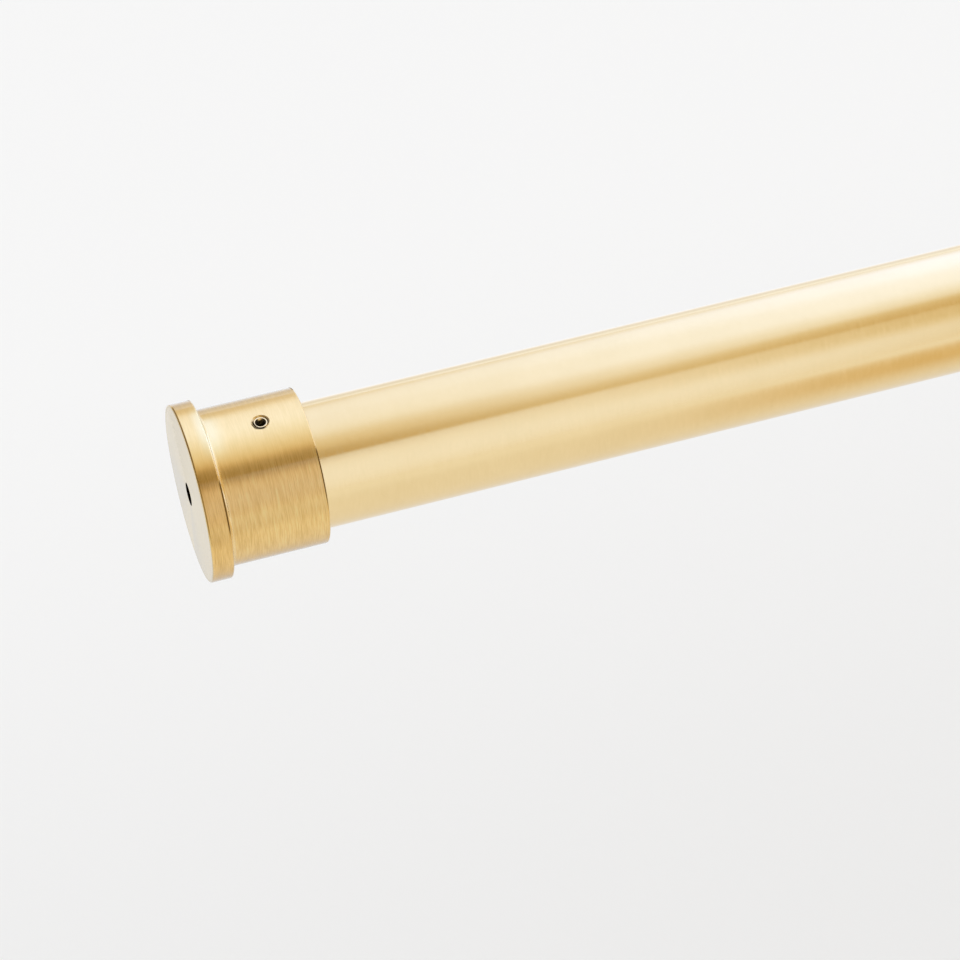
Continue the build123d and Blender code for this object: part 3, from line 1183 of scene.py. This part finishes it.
# How strongly red, green and blue follow a panel's level: dark gaps are warm, bright boxes cool
LEVEL_POWERS = (0.54, 1.0, 2.14)
# Below this level a gap only gets darker, no warmer
DEEP_LEVEL = 0.35
# Colour of the faint glow that gloss shows on the far floor
GLOW_TINT = (0.7, 1.0, 1.6)
# Points along the floor's side
FLOOR_POINTS = 9


def rays(tree):
    """1 for a ray that gloss sends, and 1 for a ray of the camera's own."""
    path = node(tree, "ShaderNodeLightPath").outputs
    return Value(path["Is Glossy Ray"]), Value(path["Is Camera Ray"])


def studio_world(stage):
    """A plain studio: even pale light, and soft panels and gaps for the gloss to show.

    The way's turn is the arc tangent of its height over how far it points to the front.
    """
    world = bpy.data.worlds.new("studio")
    tree = emptied(world)
    world.cycles.sampling_method = "NONE"
    x, y, z = split(output(tree, "ShaderNodeTexCoord", which="Generated"))
    turn = maths("DEGREES", maths("ARCTAN2", z, y * -1.0))
    level = 1.0
    for start, fade_in, end, fade_out, lean_none, lean_full, panel in STUDIO_PANELS:
        share = (
            fade(turn, start, start + fade_in) * fade(turn, end, end + fade_out, 1.0, 0.0)
            * fade(x, lean_none, lean_full))
        level = output(tree, "ShaderNodeMix", {0: share, 2: level, 3: panel})
    held = maths("MAXIMUM", level, DEEP_LEVEL)
    below = maths("MINIMUM", level / DEEP_LEVEL, 1.0)
    tinted = output(tree, "ShaderNodeCombineColor", {
        i: maths("POWER", held, power) * below for i, power in enumerate(LEVEL_POWERS)})
    glossy, camera = rays(tree)
    panels = blended(1.0, tinted, shaded(WHITE, stage.gloss_level), "MULTIPLY")
    lit = blended(glossy, shaded(WHITE, stage.light_level), panels)
    seen = blended(camera, lit, shaded(stage.floor_colour))
    light = output(tree, "ShaderNodeBackground", {"Color": seen, "Strength": 1.0})
    node(tree, "ShaderNodeOutputWorld", {"Surface": light})
    bpy.context.scene.world = world


def floor_material(stage):
    """Matt pale floor, with painted shade that makes it a tenth darker in front than behind, and
    clear when seen from below.

    Gloss alone shows faint glows far behind, in front and close behind the rod, dim places in
    front on the left and far behind, and a brass-coloured patch in front on the right. All are
    fades over X and Y.
    """
    material, tree = new_material("studio_floor")
    x, y, _ = split(place_on_piece(tree))
    glossy, camera = rays(tree)
    far_off = fade(maths("SQRT", x * x + y * y), 1.6, 5.0) * camera
    # Painted shade: the floor a tenth darker in front than behind
    pale = maths("MAXIMUM", fade(y, -0.05, 0.40), far_off)
    glow_behind = fade(y, 0.8, 2.5, 0.0, 0.32) * fade(x, 0.2, 0.8, 0.1, 1.0)
    glow_in_front = fade(y, -0.5, -1.6, 0.0, 0.08)
    glow_close = fade(y, 0.1, 0.25, 0.0, 0.17) * fade(y, 1.1, 0.6) * fade(x, -0.02, 0.05)
    glow = (glow_behind + glow_in_front + glow_close) * glossy
    dim = fade(y, -0.45, -0.85, 0.0, 0.32) * fade(x, 0.12, -0.02) + fade(y, 0.8, 1.4, 0.0, 0.10)
    slant = x + y * 0.25
    patch = fade(y, -0.02, -0.45) * fade(y, -2.6, -0.5) * fade(slant, *stage.patch_reach)
    colour = layered(
        blended(pale, shaded(stage.floor_colour, 0.91), shaded(stage.floor_colour)),
        (dim * glossy, BLACK),
        (patch * glossy, shaded(stage.patch_colour)))
    shader = output(tree, "ShaderNodeBsdfPrincipled", {
        "Base Color": colour,
        "Roughness": 0.9,
        "Specular IOR Level": 0.0,
        "Emission Color": output(tree, "ShaderNodeCombineColor", {
            i: glow * share for i, share in enumerate(GLOW_TINT)}),
        "Emission Strength": 1.0,
    })
    clear = output(tree, "ShaderNodeBsdfTransparent")
    under = output(tree, "ShaderNodeNewGeometry", which="Backfacing")
    mixed = output(tree, "ShaderNodeMixShader", {0: under, 1: shader, 2: clear})
    node(tree, "ShaderNodeOutputMaterial", {"Surface": mixed})
    return material


def studio_floor(stage):
    """A level floor under the rod, as a grid whose points share one height."""
    low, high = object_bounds()
    middle = (low + high) / 2
    reach = np.linspace(-stage.floor_size / 2, stage.floor_size / 2, FLOOR_POINTS)
    x, y = np.meshgrid(middle.x + reach, middle.y + reach, indexing="ij")
    points = np.stack([x, y, np.full_like(x, low.z - stage.floor_drop)], -1)
    faces = grid_faces(*x.shape)
    mesh = bpy.data.meshes.new("studio_floor")
    mesh.from_pydata(points.reshape(-1, 3).tolist(), [], faces.reshape(-1, 4).tolist())
    mesh.materials.append(floor_material(stage))
    floor = linked("studio_floor", mesh)
    floor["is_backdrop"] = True


def studio_camera(stage):
    """The camera, looking at its aim from the given azimuth, elevation and distance."""
    data = bpy.data.cameras.new("studio_camera")
    data.sensor_width = 36
    data.lens = stage.lens
    data.clip_start, data.clip_end = 0.01, 50
    camera = linked("studio_camera", data)
    a, e = stage.azimuth, stage.elevation
    back = Vector((math.sin(a) * math.cos(e), -math.cos(a) * math.cos(e), math.sin(e)))
    wall_face = frame["record"]["mounts"][0]["pos_m"]
    turned = (-back).to_track_quat("-Z", "Y").to_matrix().to_4x4()
    spot = Vector(wall_face) + Vector(stage.aim) + back * stage.distance
    camera.matrix_world = Matrix.Translation(spot) @ turned @ Matrix.Rotation(stage.roll, 4, "Z")
    bpy.context.scene.camera = camera


class CURTAINROD_OT_add_stage(bpy.types.Operator):
    """Adds the pale floor, the soft studio light and the camera"""

    bl_idname = "curtain_rod.add_stage"
    bl_label = "Add Stage"

    def execute(self, context):
        stage = context.scene.rod_stage
        studio_world(stage)
        studio_floor(stage)
        studio_camera(stage)
        context.scene.view_settings.view_transform = "Standard"
        return {"FINISHED"}


# ---- panel and registration

SETTINGS = {
    "rod_bracket": BracketDetails,
    "rod_tube": TubeDetails,
    "rod_set_screw": SetScrewDetails,
    "rod_nylon": NylonDetails,
    "rod_finishes": Finishes,
    "rod_stage": StageSettings,
}
OPERATORS = (
    CURTAINROD_OT_add_brackets,
    CURTAINROD_OT_add_tubes,
    CURTAINROD_OT_add_nylon,
    CURTAINROD_OT_add_set_screws,
    CURTAINROD_OT_add_stage,
)


class CURTAINROD_PT_sidebar(bpy.types.Panel):
    """Lists the rod's settings and the buttons that add its pieces"""

    bl_idname = "CURTAINROD_PT_sidebar"
    bl_label = "Curtain Rod"
    bl_space_type = "VIEW_3D"
    bl_region_type = "UI"
    bl_category = "Curtain Rod"

    def draw(self, context):
        for name, settings in SETTINGS.items():
            box = self.layout.box()
            box.label(text=settings.__doc__.rstrip("."))
            for value in settings.__annotations__:
                box.prop(getattr(context.scene, name), value)
        for operator in OPERATORS:
            self.layout.operator(operator.bl_idname)


def register():
    """Registers the settings, the operators and the panel."""
    for name, settings in SETTINGS.items():
        bpy.utils.register_class(settings)
        setattr(bpy.types.Scene, name, bpy.props.PointerProperty(type=settings))
    for operator in OPERATORS:
        bpy.utils.register_class(operator)
    bpy.utils.register_class(CURTAINROD_PT_sidebar)


def unregister():
    """Takes back what register added."""
    bpy.utils.unregister_class(CURTAINROD_PT_sidebar)
    for operator in reversed(OPERATORS):
        bpy.utils.unregister_class(operator)
    for name, settings in reversed(SETTINGS.items()):
        delattr(bpy.types.Scene, name)
        bpy.utils.unregister_class(settings)


def main():
    """Adds every piece and the stage."""
    register()
    bpy.ops.curtain_rod.add_brackets()
    bpy.ops.curtain_rod.add_tubes()
    bpy.ops.curtain_rod.add_nylon()
    bpy.ops.curtain_rod.add_set_screws()
    bpy.ops.curtain_rod.add_stage()


if __name__ == "__main__":
    main()
